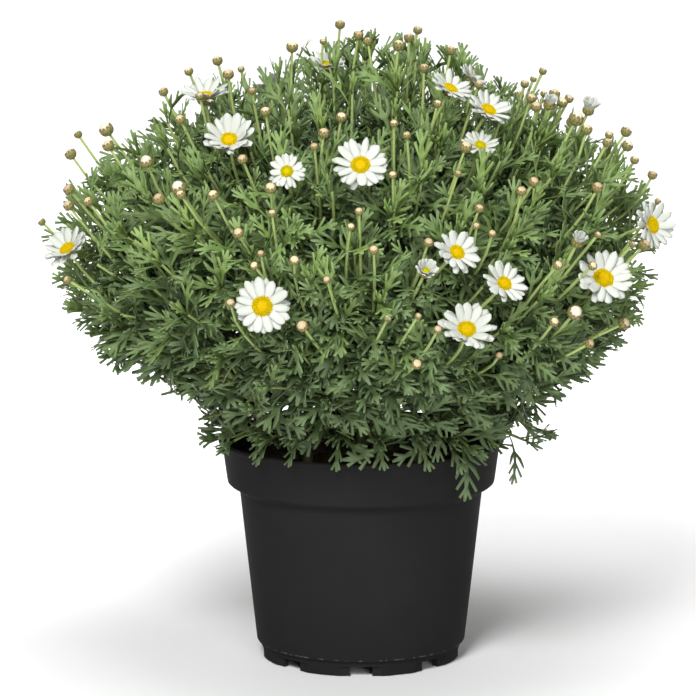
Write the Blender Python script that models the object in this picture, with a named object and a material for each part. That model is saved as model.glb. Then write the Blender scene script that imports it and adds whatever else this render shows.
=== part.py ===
# Potted marguerite daisy: nursery pot, soil, leafy stems with buds, and white daisies
# Metres, +Z up, the front of the plant faces -Y, origin on the ground under the pot's axis

import math
import random

import bmesh
import bpy
from mathutils import Matrix, Vector
from mathutils.bvhtree import BVHTree

MM = 0.001
GAP = 0.3 * MM
UP = Vector((0, 0, 1))
GOLDEN = math.radians(137.508)
SHARP_ANGLE = math.radians(40)

# Nursery pot, 19 cm across its lip
POT_SIDES = 36
FLOOR_TOP = 11 * MM
POT_OUTLINE = (
    (0, 8.5), (62.5, 8.5), (62.5, 0), (66, 0), (66.4, 9), (71, 10.5),
    (82.2, 113.5), (90.6, 118.5), (94.2, 146.5), (96.6, 147.6), (96.6, 150.3),
    (93.6, 150.3), (91.9, 146.8), (88.4, 119.8), (80.2, 114.6), (68.8, 11), (0, 11),
)
CUT_DEPTH = 12 * MM
HOLE_SIDES = 6
FOOT_CIRCLE = 64 * MM
FOOT_NOTCHES = 8
NOTCH_WIDTH = 12 * MM
NOTCH_HEIGHT = 6.6 * MM
DRAINS = 4
DRAIN_RADIUS = 5 * MM
DRAIN_CIRCLE = 50 * MM

# Soil, a low mound that follows the pot's inner wall
SOIL_SIDES = 18
SOIL_OUTLINE = (
    (0, 11.4), (68.2, 11.4), (79.6, 115), (87.8, 120.2), (89.6, 134), (58, 137), (0, 139.5),
)
HOLE_RADIUS = 5.2 * MM
HOLE_DEPTH = 22 * MM

# Dome of the plant: half width, height above its widest level, depth below it
DOME_CENTRE = Vector((0, 0, 278 * MM))
DOME_WIDE = 215 * MM
DOME_RISE = 155 * MM
DOME_DROP = 150 * MM
WIDEST = 221 * MM
DEEPEST = 214 * MM
TALLEST = 437 * MM

# Main stems, each in its own hole: five near the axis, seven round them
CROWN_STEMS = 5
OUTER_STEMS = 7
CROWN_CIRCLE = 20 * MM
OUTER_CIRCLE = 46 * MM
CROWN_SLOPE = math.radians(62)
OUTER_SLOPE = math.radians(22)
FAN_POINT = Vector((0, 0, 150 * MM))
STEM_REACH = 108 * MM
STEM_RADIUS = 3.9 * MM
SHOOT_RADIUS = 1.7 * MM
PEDUNCLE_RADIUS = 0.95 * MM
COLLAR_RADIUS = 3.6 * MM

# Blooms: across, depth and height of the centre in mm, width in mm, then the way it
# faces as degrees round from the front (right is positive) and degrees of lift
BLOOMS = (
    (-84, -140, 372, 38, -20, 52),
    (-47, -170, 352, 26, -5, 30),
    (-1, -176, 358, 36, 0, 34),
    (57, -110, 399, 28, 10, 60),
    (82, -118, 386, 30, 25, 45),
    (60, -194, 305, 30, 8, 22),
    (90, -186, 286, 30, 12, 20),
    (66, -196, 260, 40, 5, 32),
    (-62, -198, 271, 39, -8, 30),
    (-192, -75, 290, 33, -48, 35),
    (190, -72, 306, 33, 50, 15),
    (155, -140, 281, 38, 28, 35),
    (-101, -85, 393, 34, -35, 62),
    (-24, -60, 410, 30, 0, 65),
    (70, -60, 406, 28, 20, 68),
    (76, -135, 366, 28, 20, 48),
    (-60, 135, 372, 36, -155, 50),
    (62, 168, 340, 38, 165, 35),
    (-150, 120, 300, 38, -130, 30),
    (165, 110, 265, 36, 125, 22),
    (-40, 196, 262, 38, -170, 25),
)
FULL_BLOOM = 38 * MM
SMALL_BLOOM = 31 * MM
BLOOM_THICK = 6 * MM
BLOOM_ROOM_SIDES = 10
CUP_DEPTH = 5 * MM
CUP_RADIUS = 4.6 * MM
PLATE_RADIUS = 5 * MM
PLATE_THICK = 1.8 * MM
PETAL_WIDTH = 5.8 * MM
PETAL_THICK = 0.7 * MM
PETAL_WIDEST = 0.7
PETAL_DROOP = 0.5 * MM
PETAL_SWAY = math.radians(2)
PETALS = 8
FEWER_PETALS = 6
PETAL_LENGTHS = (0.94, 1)
PETAL_WIDTHS = (0.92, 1.05)
LOWER_LIFT = 0
UPPER_LIFT = math.radians(8)
DISC_SIDES = 7
DISC_RADIUS = 5.8 * MM
DISC_HEIGHT = 3.4 * MM
DISC_FOOT = 0.8
DISC_RIM = 0.45
DISC_CROWN = 0.6
DISC_DIMPLE = 0.82

# Bud tips over the upper dome, leafy tips under them and between them at the crown
BUD_TIPS = 40
BUD_LOWEST = -0.28
BUD_CLEAR_OF_BLOOM = 34 * MM
TOP_BUD = Vector((-14, -12, 431)) * MM
LOW_TIPS = 13
LOW_RISES = (-0.45, -0.68)
LOW_REACH = 0.9
CROWN_TIPS = 14
CROWN_RISES = (0.97, 0.62)
CROWN_REACH = 0.84
BUD_RADIUS = 4.6 * MM
BUD_NECK = 0.72
BUD_TOP_RISE = 0.97
BUD_UPTURN = 0.7
LEAF_UPTURN = 0.6

# Steps along a main stem and along a shoot, as shares of its length
STEM_FOOT = 3 * MM
STEM_RISE = 24 * MM
STEM_TAPER = 0.6
STEM_STEPS = (0.24, 0.31, 0.5, 0.57, 0.76, 0.83, 1)
STEM_NODES = (1, 3, 5)
SHOOT_STEPS = (0.08, 0.56, 0.585, 0.84, 0.865, 1)
SHOOT_LEAD = 0.3
SHOOT_RISE = 0.34
SHOOT_TRIES = 40
SHOOT_BOW = 0.24
BOW_RISE = (-0.4, 1)
SHARPEST_TURN = math.radians(35)
ROOT_CLEAR = 0.35

# Leaves, as shares of their length where no unit is given
LEAF_NODES = (2, 4)
LEAVES_AT_NODE = (1, 2)
LEAF_PAIRS = 2
LEAF_LENGTH = 66 * MM
LEAF_SHRINK = 0.14
LEAF_SPREAD = math.radians(42)
LEAF_SWAY = math.radians(9)
LOW_LEAVES = 4
LEAF_BEND = math.radians(9)
LEAF_STALK = 0.4
LEAF_LOBED = 0.4
LEAF_END = 0.2
LEAF_RIB = 2.8 * MM
LEAF_KEEL = 1.1 * MM
LOBE_LENGTH = 0.36
LOBE_SHRINK = 0.04
LOBE_ANGLE = math.radians(51.5)
STALK_WIDTH = 0.75
LEAF_TRIES = 16
LEAF_GIVE = 0.03
LEAF_RANGE = (0.9, 1.06)
LEAF_SWING = math.radians(12)
LEAF_MOST_SWING = math.radians(48)
LEAF_FREE = 3 * MM
SWELL = 0.6 * MM
TUBE_ROOM = 1.42


def material(name, colour, roughness):
    """A Principled material of one colour."""
    made = bpy.data.materials.new(name)
    made.use_nodes = True
    shader = made.node_tree.nodes["Principled BSDF"]
    shader.inputs["Base Color"].default_value = (*colour, 1)
    shader.inputs["Roughness"].default_value = roughness
    shader.inputs["Metallic"].default_value = 0
    return made


def add_object(name, bm, finish):
    """Turn a finished mesh into a named object of the scene."""
    bmesh.ops.triangulate(bm, faces=bm.faces[:], quad_method="SHORT_EDGE")
    mesh = bpy.data.meshes.new(name)
    bm.to_mesh(mesh)
    bm.free()
    mesh.materials.append(finish)
    mesh.shade_smooth()
    mesh.set_sharp_from_angle(angle=SHARP_ANGLE)
    obj = bpy.data.objects.new(name, mesh)
    bpy.context.collection.objects.link(obj)
    return obj


def turned(outline, sides):
    """A closed body turned about Z from an outline in mm that starts and ends on the axis."""
    bm = bmesh.new()
    verts = [bm.verts.new((r * MM, 0, z * MM)) for r, z in outline]
    edges = [bm.edges.new(pair) for pair in zip(verts, verts[1:])]
    bmesh.ops.spin(
        bm, geom=verts + edges, cent=(0, 0, 0), axis=UP, angle=math.tau, steps=sides, use_merge=True
    )
    bmesh.ops.remove_doubles(bm, verts=bm.verts, dist=0.01 * MM)
    bmesh.ops.recalc_face_normals(bm, faces=bm.faces)
    return bm


def cutter(name, bm, target):
    """Cut a helper body out of the target."""
    helper = add_object(name, bm, target.data.materials[0])
    helper.hide_render = True
    helper.display_type = "WIRE"
    cut = target.modifiers.new(name, "BOOLEAN")
    cut.operation = "DIFFERENCE"
    cut.object = helper


def make_pot():
    """Thin-walled pot with a rolled lip, a deep rim band and a notched foot ring."""
    plastic = material("black_plastic", (0.022, 0.022, 0.023), 0.42)
    pot = add_object("pot", turned(POT_OUTLINE, POT_SIDES), plastic)
    notches = bmesh.new()
    for step in range(FOOT_NOTCHES):
        angle = math.tau * (step / FOOT_NOTCHES) - math.pi / 2
        spot = Matrix.Rotation(angle, 4, "Z") @ Matrix.Translation((FOOT_CIRCLE, 0, 0))
        size = Matrix.Diagonal((CUT_DEPTH, NOTCH_WIDTH, 2 * NOTCH_HEIGHT, 1))
        bmesh.ops.create_cube(notches, size=1, matrix=spot @ size)
    cutter("foot_notch_cutter", notches, pot)
    drains = bmesh.new()
    for step in range(DRAINS):
        angle = math.tau * ((step + 0.5) / DRAINS)
        spot = Matrix.Rotation(angle, 4, "Z") @ Matrix.Translation((DRAIN_CIRCLE, 0, FLOOR_TOP))
        bmesh.ops.create_cone(
            drains, cap_ends=True, segments=HOLE_SIDES, radius1=DRAIN_RADIUS, radius2=DRAIN_RADIUS,
            depth=CUT_DEPTH, matrix=spot,
        )
    cutter("drain_cutter", drains, pot)
    return pot


def soil_height(radius):
    """Height of the soil's surface at a distance from the axis."""
    (r0, z0), (r1, z1), (r2, z2) = SOIL_OUTLINE[-3:]
    r0, z0, r1, z1, z2 = r0 * MM, z0 * MM, r1 * MM, z1 * MM, z2 * MM
    if radius < r1:
        return z2 + (z1 - z2) * radius / r1
    return z1 + (z0 - z1) * (radius - r1) / (r0 - r1)


def make_soil(roots):
    """Soil with one plain hole for each main stem."""
    peat = material("peat", (0.035, 0.024, 0.016), 0.95)
    soil = add_object("soil", turned(SOIL_OUTLINE, SOIL_SIDES), peat)
    holes = bmesh.new()
    for root in roots:
        middle = Matrix.Translation(root - UP * (HOLE_DEPTH - CUT_DEPTH) / 2)
        bmesh.ops.create_cone(
            holes, cap_ends=True, segments=HOLE_SIDES, radius1=HOLE_RADIUS, radius2=HOLE_RADIUS,
            depth=HOLE_DEPTH + CUT_DEPTH, matrix=middle,
        )
    cutter("stem_hole_cutter", holes, soil)
    return soil


def dome_point(heading, rise, reach):
    """A point of the dome: heading round Z, rise from -1 to 1, reach from its centre."""
    flat = math.sqrt(1 - rise * rise)
    up = DOME_RISE if rise > 0 else DOME_DROP
    spot = Vector((math.cos(heading) * flat * DOME_WIDE, math.sin(heading) * flat * DOME_WIDE, rise * up))
    return DOME_CENTRE + spot * reach


def outward(point):
    """The dome's outward direction near a point."""
    offset = point - DOME_CENTRE
    tall = DOME_RISE if offset.z > 0 else DOME_DROP
    offset.z *= (DOME_WIDE / tall) ** 2
    return offset.normalized()


def facing(turn, lift):
    """The way a bloom looks, from its turn round from the front and its lift in degrees."""
    turn, lift = math.radians(turn), math.radians(lift)
    return Vector((math.sin(turn) * math.cos(lift), -math.cos(turn) * math.cos(lift), math.sin(lift)))


def extrude(bm, face, ring):
    """Extrude one face and set the corners of its cap. Returns the cap and its side faces."""
    cap = bmesh.ops.extrude_discrete_faces(bm, faces=[face])["faces"][0]
    for vert, place in zip(cap.verts, ring):
        vert.co = place
    sides = [other for edge in cap.edges for other in edge.link_faces if other is not cap]
    return cap, sides


def spike(bm, face, tip):
    """Draw a face out to a point."""
    made = bmesh.ops.poke(bm, faces=[face])
    made["verts"][0].co = tip


def round_ring(face, centre, axis, radius):
    """Corners of a round section about an axis, in step with the corners of a face."""
    first = face.verts[0].co - face.calc_center_median()
    across = (first - axis * first.dot(axis)).normalized()
    aside = axis.cross(across)
    turns = [math.tau * k / len(face.verts) for k in range(len(face.verts))]
    return [centre + (across * math.cos(a) + aside * math.sin(a)) * radius for a in turns]


def twist_shift(face, ring):
    """The corner at which a three-cornered ring starts for the least twist to a face."""
    middle = face.calc_center_median()
    centre = sum(ring, Vector()) / 3

    def twist(shift):
        pairs = zip(face.verts, ring[shift:] + ring[:shift])
        return sum(((v.co - middle).normalized() - (p - centre).normalized()).length for v, p in pairs)

    return min(range(3), key=twist)


def bezier(a, b, c, d, t):
    """A point of a cubic curve."""
    s = 1 - t
    return a * s**3 + b * (3 * s * s * t) + c * (3 * s * t * t) + d * t**3


class Room:
    """What has been placed so far, so that no leaf or stem crosses another."""

    def __init__(self):
        self.things = []

    def add(self, verts, faces, owner):
        middle = sum(verts, Vector()) / len(verts)
        reach = max((v - middle).length for v in verts)
        self.things.append((middle, reach, BVHTree.FromPolygons(verts, faces), owner))

    def add_path(self, path, radius, owner):
        """Every length of a stem is a thing of its own, named by its number."""
        for k in range(len(path) - 1):
            self.add(*tube(path[k : k + 2], radius), (owner, k))

    def clear(self, verts, faces, skip=()):
        """True if a shape touches nothing but what it grows from."""
        if any(abs(v.x) > WIDEST or abs(v.y) > DEEPEST or v.z > TALLEST for v in verts):
            return False
        middle = sum(verts, Vector()) / len(verts)
        reach = max((v - middle).length for v in verts)
        tree = BVHTree.FromPolygons(verts, faces)
        for spot, other_reach, other, owner in self.things:
            near = (spot - middle).length < reach + other_reach
            if near and owner not in skip and tree.overlap(other):
                return False
        return True


def tube(path, radius):
    """A plain four-sided tube round a path, for the clearance test."""
    verts, faces = [], []
    for k, point in enumerate(path):
        axis = (path[min(k + 1, len(path) - 1)] - path[max(k - 1, 0)]).normalized()
        across = axis.orthogonal().normalized()
        aside = axis.cross(across)
        for corner in range(4):
            angle = math.tau * corner / 4
            verts.append(point + (across * math.cos(angle) + aside * math.sin(angle)) * radius)
    for k in range(len(path) - 1):
        for corner in range(4):
            a, b = 4 * k + corner, 4 * k + (corner + 1) % 4
            faces.append((a, b, b + 4, a + 4))
    return verts, faces


def grow_stem(bm, face, path, radii):
    """Grow a stem from a face along a path. Returns the last cap and each length's sides."""
    lengths = []
    for k, (point, radius) in enumerate(zip(path, radii)):
        before = path[k - 1] if k else face.calc_center_median()
        after = path[k + 1] if k + 1 < len(path) else point
        axis = ((after - point).normalized() + (point - before).normalized()).normalized()
        face, sides = extrude(bm, face, round_ring(face, point, axis, radius))
        lengths.append(sides)
    return face, lengths


def half_of(bm, quad):
    """Split a side face in two triangles and return the first, for a side shoot or leaf."""
    return bmesh.ops.triangulate(bm, faces=[quad], quad_method="SHORT_EDGE")["faces"][0]


def petal(bm, face, length, width, lift):
    """Grow one petal from a side face of the plate: widest past its middle, then a blunt point."""
    start = face.calc_center_median()
    out = Vector((start.x, start.y, 0)).normalized()
    across = UP.cross(out)
    along = out * math.cos(lift) + UP * math.sin(lift)
    broad = start + along * (length * PETAL_WIDEST)
    ring = []
    for vert in face.verts:
        offset = vert.co - start
        side = math.copysign(width / 2, offset.dot(across))
        level = math.copysign(PETAL_THICK / 2, offset.z)
        ring.append(broad + across * side + UP * level)
    cap, _ = extrude(bm, face, ring)
    spike(bm, cap, start + along * length - UP * PETAL_DROOP)


def twist_up(bm, face, angle, height, radius):
    """Extrude a level face upwards with a twist, to a new radius."""
    turn = Matrix.Rotation(angle, 3, "Z")
    level = face.calc_center_median().z + height
    flat = [turn @ Vector((v.co.x, v.co.y, 0)).normalized() * radius for v in face.verts]
    return extrude(bm, face, [spot + UP * level for spot in flat])


def prism(bm, sides, radius, low, high):
    """Add an upright prism. Returns its top face and its side faces."""
    middle = Matrix.Translation((0, 0, (low + high) / 2))
    made = bmesh.ops.create_cone(
        bm, cap_ends=True, segments=sides, radius1=radius, radius2=radius,
        depth=high - low, matrix=middle,
    )
    faces = {face for vert in made["verts"] for face in vert.link_faces}
    top = max(faces, key=lambda face: face.calc_center_median().z)
    walls = [face for face in faces if abs(face.normal.z) < 0.5]
    return top, sorted(walls, key=lambda face: math.atan2(*face.calc_center_median().yx))


def bloom_rays(width, seed):
    """White rays in two layers round a small plate, which sits at the origin and faces +Z."""
    rng = random.Random(seed)
    count = PETALS if width > SMALL_BLOOM else FEWER_PETALS
    radius = PLATE_RADIUS * width / FULL_BLOOM
    layer = PLATE_THICK / 2
    bm = bmesh.new()
    top, lower = prism(bm, count, radius, GAP, GAP + layer)
    bmesh.ops.rotate(bm, verts=top.verts[:], cent=(0, 0, 0), matrix=Matrix.Rotation(math.pi / count, 3, "Z"))
    _, upper = twist_up(bm, top, math.pi / count, layer, radius)
    for faces, lift in ((lower, LOWER_LIFT), (upper, UPPER_LIFT)):
        for face in faces:
            length = (width / 2 - radius) * rng.uniform(*PETAL_LENGTHS)
            wide = PETAL_WIDTH * width / FULL_BLOOM * rng.uniform(*PETAL_WIDTHS)
            petal(bm, face, length, wide, lift + rng.uniform(-PETAL_SWAY, PETAL_SWAY))
    return bm


def bloom_disc(width):
    """Yellow disc: a knobbly low dome with a dimple, on top of the rays' plate."""
    radius = DISC_RADIUS * width / FULL_BLOOM
    low = PLATE_THICK + 2 * GAP
    bm = bmesh.new()
    top, _ = prism(bm, DISC_SIDES, radius * DISC_FOOT, low, low + DISC_HEIGHT * DISC_RIM)
    for vert in top.verts:
        vert.co.x /= DISC_FOOT
        vert.co.y /= DISC_FOOT
    crown, _ = twist_up(bm, top, math.pi / DISC_SIDES, DISC_HEIGHT * DISC_RIM, radius * DISC_CROWN)
    spike(bm, crown, Vector((0, 0, low + DISC_HEIGHT * DISC_DIMPLE)))
    return bm


def make_blooms(room):
    """White rays and yellow discs of every bloom, each pair set square on its stalk's cup."""
    white = material("ray_white", (0.82, 0.84, 0.8), 0.55)
    yellow = material("disc_yellow", (0.85, 0.5, 0.012), 0.6)
    for number, (x, y, z, width, turn, lift) in enumerate(BLOOMS):
        width *= MM
        place = Matrix.Translation(Vector((x, y, z)) * MM) @ look_along(facing(turn, lift))
        name = f"bloom_{number + 1:02d}"
        add_object(f"{name}_rays", bloom_rays(width, number), white).matrix_world = place
        add_object(f"{name}_disc", bloom_disc(width), yellow).matrix_world = place
        space = bmesh.new()
        prism(space, BLOOM_ROOM_SIDES, width / 2 + SWELL, -SWELL, BLOOM_THICK)
        verts = [place @ v.co for v in space.verts]
        room.add(verts, [[v.index for v in face.verts] for face in space.faces], name)
        space.free()


def look_along(axis):
    """A turn that takes +Z to an axis."""
    return axis.to_track_quat("Z", "Y").to_matrix().to_4x4()


def plan_ends():
    """Where every shoot ends: under a bloom, in a bud on the dome, or in a leafy tip."""
    blooms, ends = [], []
    for number, (x, y, z, _, turn, lift) in enumerate(BLOOMS):
        axis = facing(turn, lift)
        centre = Vector((x, y, z)) * MM
        blooms.append(centre)
        ends.append((f"bloom_{number + 1:02d}", centre - axis * CUP_DEPTH, axis))
    ends.append(("bud", TOP_BUD, UP))
    taken = blooms + [TOP_BUD]
    for k in range(BUD_TIPS):
        rise = BUD_LOWEST + (BUD_TOP_RISE - BUD_LOWEST) * (k + 0.5) / BUD_TIPS
        point = dome_point(k * GOLDEN, rise, 1)
        if all((point - other).length > BUD_CLEAR_OF_BLOOM for other in taken):
            ends.append(("bud", point, (outward(point) + UP * BUD_UPTURN).normalized()))
    high, low = CROWN_RISES
    for k in range(CROWN_TIPS):
        point = dome_point((k + 0.5) * GOLDEN, high + (low - high) * k / CROWN_TIPS, CROWN_REACH)
        ends.append(("leaf", point, (outward(point) + UP * BUD_UPTURN).normalized()))
    for k in range(LOW_TIPS):
        point = dome_point(math.tau * (k + 0.5) / LOW_TIPS, LOW_RISES[k % 2], LOW_REACH)
        ends.append(("leaf", point, (outward(point) + UP * LEAF_UPTURN).normalized()))
    return ends


def plan_stems(ends):
    """Heading, root and ends of every main stem."""
    stems = []
    crown = (CROWN_STEMS, CROWN_SLOPE, CROWN_CIRCLE)
    outer = (OUTER_STEMS, OUTER_SLOPE, OUTER_CIRCLE)
    for count, slope, circle in (crown, outer):
        for k in range(count):
            turn = math.tau * (k + 0.25) / count
            flat = Vector((math.cos(turn), math.sin(turn), 0))
            heading = flat * math.cos(slope) + UP * math.sin(slope)
            stems.append((heading, flat * circle + UP * soil_height(circle), []))
    for end in ends:
        toward = (end[1] - FAN_POINT).normalized()
        max(stems, key=lambda stem: stem[0].dot(toward))[2].append(end)
    return stems


def main_stem(heading, root):
    """Mesh of one main stem. Returns it with its end face and the side faces of its nodes."""
    bm = bmesh.new()
    top, _ = prism(bm, 3, STEM_RADIUS, GAP - HOLE_DEPTH - STEM_FOOT, 0)
    bmesh.ops.translate(bm, verts=bm.verts[:], vec=root + UP * STEM_FOOT)
    start = root + UP * STEM_FOOT
    tip = FAN_POINT + heading * STEM_REACH
    path = [
        bezier(start, start + UP * STEM_RISE, tip - heading * STEM_RISE, tip, t)
        for t in STEM_STEPS
    ]
    radii = [STEM_RADIUS + (SHOOT_RADIUS - STEM_RADIUS) * t * STEM_TAPER for t in STEM_STEPS]
    cap, lengths = grow_stem(bm, top, path, radii)
    nodes = [(k + 1, face, path[k] - path[k - 1]) for k in STEM_NODES for face in lengths[k]]
    return bm, cap, nodes, [root - UP * HOLE_DEPTH, start] + path


def shoot_path(start, lead, end, axis, bow):
    """Points of a shoot from its root to its end, with a sideways bow."""
    span = (end - start).length
    first = start + (lead + (end - start).normalized()).normalized() * span * SHOOT_LEAD
    last = end - axis * span * SHOOT_RISE + bow * span
    return [bezier(start, first, last, end, t) for t in SHOOT_STEPS]


def leaf_rings(root, along, up, size, pairs, swell=0):
    """Sections and lobe tips of a leaf: a slim stalk, then pairs of lobes that point forwards."""
    across = along.cross(up)
    rings, tips = [], []
    point = root
    for k in range(pairs + 1):
        step = size * (LEAF_STALK if k == 0 else LEAF_LOBED / pairs)
        point = point + along * step
        half = LEAF_RIB / 2 * (STALK_WIDTH if k == 0 else 1) + swell
        ring = [
            point + across * half + up * swell,
            point - up * (LEAF_KEEL + swell),
            point - across * half + up * swell,
        ]
        rings.append(ring)
        if k:
            lobe = size * (LOBE_LENGTH - LOBE_SHRINK * k)
            tip = point + along * lobe * math.cos(LOBE_ANGLE)
            reach = lobe * math.sin(LOBE_ANGLE) + swell
            tips.append([tip + across * side * reach for side in (1, -1)])
        bend = Matrix.Rotation(-LEAF_BEND, 3, across)
        along = bend @ along
        up = bend @ up
    return rings, tips, point + along * (size * LEAF_END + swell)


def slim_root(root, rings):
    """A stalk section moved back to a leaf's root."""
    middle = sum(rings[0], Vector()) / 3
    return [root + corner - middle for corner in rings[0]]


def leaf_skin(corners, rings, tips, end):
    """Points and faces of a leaf for the clearance test, from the corners of its root up."""
    verts = list(corners)
    faces = []
    for k, ring in enumerate(rings):
        a, b = 3 * k, 3 * k + 3
        verts += ring
        faces += [(a, a + 1, b + 1, b), (a + 1, a + 2, b + 2, b + 1), (a + 2, a, b, b + 2)]
    last = 3 * len(rings)
    verts.append(end)
    peak = last + 3
    faces += [(last, last + 1, peak), (last + 1, last + 2, peak), (last + 2, last, peak)]
    for k, pair in enumerate(tips):
        a = 3 * (k + 1)
        for tip, edge, keel in ((pair[0], a, a + 1), (pair[1], a + 2, a + 1)):
            verts.append(tip)
            point = len(verts) - 1
            faces += [(edge, edge + 3, point), (keel, keel + 3, point)]
            faces += [(edge, keel, point), (edge + 3, keel + 3, point)]
    return verts, faces


def grow_leaf(bm, face, rings, tips, end):
    """Grow a leaf from a small face of its shoot."""
    shift = twist_shift(face, rings[0])
    across = rings[0][0] - rings[0][2]
    for k, ring in enumerate(rings):
        face, sides = extrude(bm, face, ring[shift:] + ring[:shift])
        if k:
            sides.sort(key=lambda side: side.calc_center_median().dot(across))
            spike(bm, sides[2], tips[k - 1][0])
            spike(bm, sides[0], tips[k - 1][1])
    spike(bm, face, end)


def grow_bud(bm, face, axis):
    """Round bud on the end face of its stalk: narrow foot, wide middle, flat top."""
    centre = face.calc_center_median()
    foot = centre + axis * BUD_RADIUS * BUD_NECK
    face, _ = extrude(bm, face, round_ring(face, foot, axis, BUD_RADIUS))
    bmesh.ops.subdivide_edges(bm, edges=face.edges[:], cuts=1)
    face = max((f for v in face.verts for f in v.link_faces), key=lambda f: f.normal.dot(axis))
    for vert in face.verts:
        offset = vert.co - foot
        vert.co = foot + offset.normalized() * BUD_RADIUS
    crown = round_ring(face, foot + axis * BUD_RADIUS * BUD_NECK, axis, BUD_RADIUS * BUD_NECK)
    extrude(bm, face, crown)


def grow_cup(bm, face, axis):
    """Green cup under a bloom, with a flat top square to the bloom."""
    top = face.calc_center_median() + axis * (CUP_DEPTH - GAP)
    face, _ = extrude(bm, face, round_ring(face, top, axis, CUP_RADIUS))
    bmesh.ops.subdivide_edges(bm, edges=face.edges[:], cuts=1)
    face = max((f for v in face.verts for f in v.link_faces), key=lambda f: f.normal.dot(axis))
    for vert in face.verts:
        vert.co = top + (vert.co - top).normalized() * CUP_RADIUS


def nearby(owner, k):
    """Names of one length of a stem and of those next to it."""
    return {(owner, k - 1), (owner, k), (owner, k + 1)}


def grow_shoots(stems, room):
    """Grow every main stem with its shoots, cups and buds. Returns what carries leaves."""
    built = []
    for number, (heading, root, ends) in enumerate(stems):
        bm, cap, nodes, trunk = main_stem(heading, root)
        main = f"stem {number}"
        room.add_path(trunk, STEM_RADIUS * TUBE_ROOM, main)
        straight = max(ends, key=lambda end: heading.dot((end[1] - FAN_POINT).normalized()))
        shoots = []
        for index, end in enumerate(sorted(ends, key=lambda end: end[1].z)):
            kind, point, axis = end
            if end == straight:
                k, face = len(STEM_STEPS), cap
            else:
                node = best_node(nodes, point)
                nodes.remove(node)
                k, face = node[0], half_of(bm, node[1])
            owner = f"{main} shoot {index}"
            start = face.calc_center_median()
            path = clear_path(room, face, point, axis, owner, nearby(main, k) | {kind})
            room.add_path([start] + path, SHOOT_RADIUS * TUBE_ROOM, owner)
            room.add(*tube([start, path[0]], COLLAR_RADIUS), (owner, 0))
            radii = [SHOOT_RADIUS + (PEDUNCLE_RADIUS - SHOOT_RADIUS) * t for t in SHOOT_STEPS]
            face, lengths = grow_stem(bm, face, path, radii)
            if kind == "bud":
                grow_bud(bm, face, axis)
                room.add(*tube([point, point + axis * BUD_RADIUS * 2], BUD_RADIUS * TUBE_ROOM), owner)
            elif kind != "leaf":
                grow_cup(bm, face, axis)
                room.add(*tube([point, point + axis * (CUP_DEPTH - SWELL)], CUP_RADIUS * TUBE_ROOM), owner)
            shoots.append((owner, lengths, face if kind == "leaf" else None))
        built.append((bm, main, shoots, nodes))
    return built


def best_node(nodes, point):
    """The node face that looks most towards a point."""

    def turned_to(node):
        face = node[1]
        return face.normal.dot((point - face.calc_center_median()).normalized())

    return max(nodes, key=turned_to)


def clear_path(room, face, point, axis, owner, skip):
    """The first of a few bowed paths that touches nothing placed before."""
    rng = random.Random(owner)
    start = face.calc_center_median()
    for attempt in range(SHOOT_TRIES):
        bow = Vector((rng.uniform(-1, 1), rng.uniform(-1, 1), rng.uniform(*BOW_RISE)))
        path = shoot_path(start, face.normal, point, axis, bow * SHOOT_BOW * (attempt + 1) / SHOOT_TRIES)
        probe = [start.lerp(path[0], ROOT_CLEAR)] + path
        if gentle(probe) and room.clear(*tube(probe, SHOOT_RADIUS * TUBE_ROOM + SWELL), skip):
            return path
    return path


def gentle(path):
    """True if no two lengths of a path meet at a sharp turn."""
    ways = [(b - a).normalized() for a, b in zip(path, path[1:])]
    return all(a.dot(b) > math.cos(SHARPEST_TURN) for a, b in zip(ways, ways[1:]))


def grow_leaves(built, room):
    """Leaves at the nodes of every shoot and main stem, and at the leafy tips."""
    for bm, main, shoots, nodes in built:
        for owner, lengths, _ in shoots:
            for node, k in enumerate(LEAF_NODES):
                axis = middle_of(lengths[k + 1]) - middle_of(lengths[k - 1])
                size = LEAF_LENGTH * (1 - LEAF_SHRINK * node)
                for side in range(LEAVES_AT_NODE[node]):
                    face = lengths[k][side]
                    place_leaf(bm, face, axis, size, room, (owner, k), side, SHOOT_RADIUS, LEAF_SPREAD)
        for side, (k, face, axis) in enumerate(nodes[:LOW_LEAVES]):
            place_leaf(bm, face, axis, LEAF_LENGTH, room, (main, k), side, STEM_RADIUS, LEAF_SPREAD)
        for owner, lengths, face in shoots:
            if face:
                size = LEAF_LENGTH * (1 - LEAF_SHRINK)
                seat = (owner, len(lengths) - 1)
                place_leaf(bm, face, face.normal.copy(), size, room, seat, 0, PEDUNCLE_RADIUS, 0)


def middle_of(sides):
    """Centre of one length of a stem."""
    return sum((face.calc_center_median() for face in sides), Vector()) / len(sides)


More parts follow.
